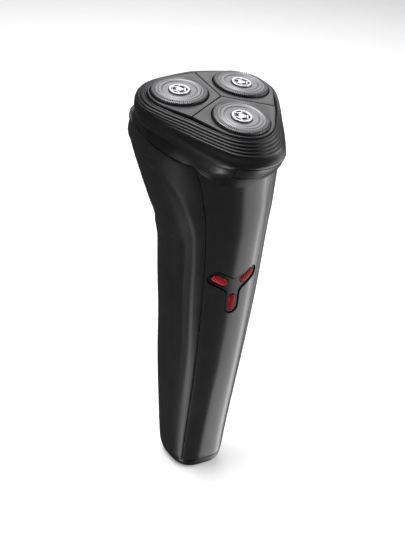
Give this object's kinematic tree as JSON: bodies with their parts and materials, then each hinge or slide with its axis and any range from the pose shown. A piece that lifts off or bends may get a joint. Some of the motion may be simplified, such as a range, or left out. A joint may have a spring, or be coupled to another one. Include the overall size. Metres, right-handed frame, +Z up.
{
  "type": "electric shaver",
  "caption": "Cordless rotary shaver: tapered handle, glossy front panel with a three-armed button, and a hinged triangular head with floating slotted guards.",
  "frame": {"origin": "on the flat face under the base cap, ahead of the charging socket", "axes": "+Z up along the handle to the shaving head; -Y is the front with the power button; +X is the right-hand side seen from the front"},
  "size_m": [0.0566, 0.0635, 0.1617],
  "materials": {
    "gloss_black": "high-gloss moulded black",
    "matte_grey": "fine satin dark grey moulding",
    "satin_black": "satin black moulding",
    "plate_grey": "satin charcoal lacquer",
    "guard_steel": "fine brushed, slotted",
    "bright_steel": "bright pressed trim",
    "blade_steel": "ground blades",
    "red_plastic": "translucent red, ribbed",
    "white_plastic": "natural acetal",
    "spring_steel": "bright drawn and pressed steel",
    "brass": "plated contacts and windings",
    "cell_wrap": "shrink sleeve",
    "board_green": "solder mask",
    "light_lens": "clear light pipe"
  },
  "bodies": {
    "handle": {"rear_housing": "matte_grey", "front_panel": "gloss_black", "bottom_cap": "satin_black", "charging_socket": "satin_black", "socket_pin_left": "brass", "socket_pin_right": "brass", "battery": "cell_wrap", "battery_contact_bottom": "brass", "battery_contact_top": "brass", "chassis": "white_plastic", "circuit_board": "board_green", "power_switch": "spring_steel", "charge_light": "light_lens", "neck_collar": "satin_black", "drive_plate": "satin_black", "motor_bracket": "white_plastic", "motor_can": "spring_steel", "plate_screw_left": "spring_steel", "plate_screw_right": "spring_steel", "hinge_pin": "spring_steel"},
    "motor": {"motor_rotor": "brass", "motor_pinion": "brass"},
    "shaving_unit": {"head_shell": "satin_black", "retaining_frame": "white_plastic", "head_plate_front": "plate_grey", "head_plate_right": "plate_grey", "head_plate_left": "plate_grey"},
    "frame_lock": {"frame_lock": "satin_black"},
    "release_button": {"release_button": "satin_black", "release_spring": "spring_steel"},
    "power_button": {"power_button": "satin_black", "button_insert_down": "red_plastic", "button_insert_left": "red_plastic", "button_insert_right": "red_plastic"},
    "drive_front": {"drive_gear_front": "white_plastic", "drive_spindle_front": "white_plastic", "spindle_spring_front": "spring_steel"},
    "shaving_head_front": {"guard_front": "guard_steel", "guard_cap_front": "bright_steel"},
    "cutter_front": {"cutter_front": "blade_steel"},
    "drive_right": {"drive_gear_right": "white_plastic", "drive_spindle_right": "white_plastic", "spindle_spring_right": "spring_steel"},
    "shaving_head_right": {"guard_right": "guard_steel", "guard_cap_right": "bright_steel"},
    "cutter_right": {"cutter_right": "blade_steel"},
    "drive_left": {"drive_gear_left": "white_plastic", "drive_spindle_left": "white_plastic", "spindle_spring_left": "spring_steel"},
    "shaving_head_left": {"guard_left": "guard_steel", "guard_cap_left": "bright_steel"},
    "cutter_left": {"cutter_left": "blade_steel"}
  },
  "joints": [
    {"name": "motor_spin", "type": "hinge", "parent": "handle", "child": "motor", "pos_m": [0, 0.00172, 0.12805], "axis": [0, -0.1908, 0.9816], "continuous": true},
    {"name": "head_hinge", "type": "hinge", "parent": "handle", "child": "shaving_unit", "pos_m": [0, 0.02494, 0.15345], "axis": [-1, 0, 0], "range_deg": [0, 100]},
    {"name": "frame_lock_turn", "type": "hinge", "parent": "shaving_unit", "child": "frame_lock", "pos_m": [0, -0.00228, 0.14866], "axis": [0, -0.1908, 0.9816], "range_deg": [0, 90]},
    {"name": "release_press", "type": "slide", "parent": "handle", "child": "release_button", "axis": [0, 0.9816, 0.1908], "range_m": [0, 0.0015], "stiffness_N_per_m": 800},
    {"name": "power_press", "type": "slide", "parent": "handle", "child": "power_button", "axis": [0, 1, 0], "range_m": [0, 0.0008], "stiffness_N_per_m": 1500},
    {"name": "drive_spin_front", "type": "hinge", "parent": "handle", "child": "drive_front", "pos_m": [0, -0.01532, 0.139], "axis": [0, -0.1908, 0.9816], "continuous": true},
    {"name": "head_float_front", "type": "slide", "parent": "shaving_unit", "child": "shaving_head_front", "axis": [0, -0.2554, 0.9668], "range_m": [-0.0015, 0], "stiffness_N_per_m": 600},
    {"name": "cutter_spin_front", "type": "hinge", "parent": "shaving_head_front", "child": "cutter_front", "pos_m": [0, -0.01879, 0.15463], "axis": [0, -0.2554, 0.9668], "continuous": true},
    {"name": "drive_spin_right", "type": "hinge", "parent": "handle", "child": "drive_right", "pos_m": [0.01268, 0.00624, 0.14319], "axis": [0, -0.1908, 0.9816], "continuous": true},
    {"name": "head_float_right", "type": "slide", "parent": "shaving_unit", "child": "shaving_head_right", "axis": [0.0574, -0.1579, 0.9858], "range_m": [-0.0015, 0], "stiffness_N_per_m": 600},
    {"name": "cutter_spin_right", "type": "hinge", "parent": "shaving_head_right", "child": "cutter_right", "pos_m": [0.01305, 0.0034, 0.15894], "axis": [0.0574, -0.1579, 0.9858], "continuous": true},
    {"name": "drive_spin_left", "type": "hinge", "parent": "handle", "child": "drive_left", "pos_m": [-0.01268, 0.00624, 0.14319], "axis": [0, -0.1908, 0.9816], "continuous": true},
    {"name": "head_float_left", "type": "slide", "parent": "shaving_unit", "child": "shaving_head_left", "axis": [-0.0574, -0.1579, 0.9858], "range_m": [-0.0015, 0], "stiffness_N_per_m": 600},
    {"name": "cutter_spin_left", "type": "hinge", "parent": "shaving_head_left", "child": "cutter_left", "pos_m": [-0.01305, 0.0034, 0.15894], "axis": [-0.0574, -0.1579, 0.9858], "continuous": true}
  ],
  "couplings": [
    {"joint": "drive_spin_front", "follows": "motor_spin", "ratio": -0.5},
    {"joint": "cutter_spin_front", "follows": "motor_spin", "ratio": -0.5},
    {"joint": "drive_spin_right", "follows": "motor_spin", "ratio": -0.5},
    {"joint": "cutter_spin_right", "follows": "motor_spin", "ratio": -0.5},
    {"joint": "drive_spin_left", "follows": "motor_spin", "ratio": -0.5},
    {"joint": "cutter_spin_left", "follows": "motor_spin", "ratio": -0.5}
  ]
}
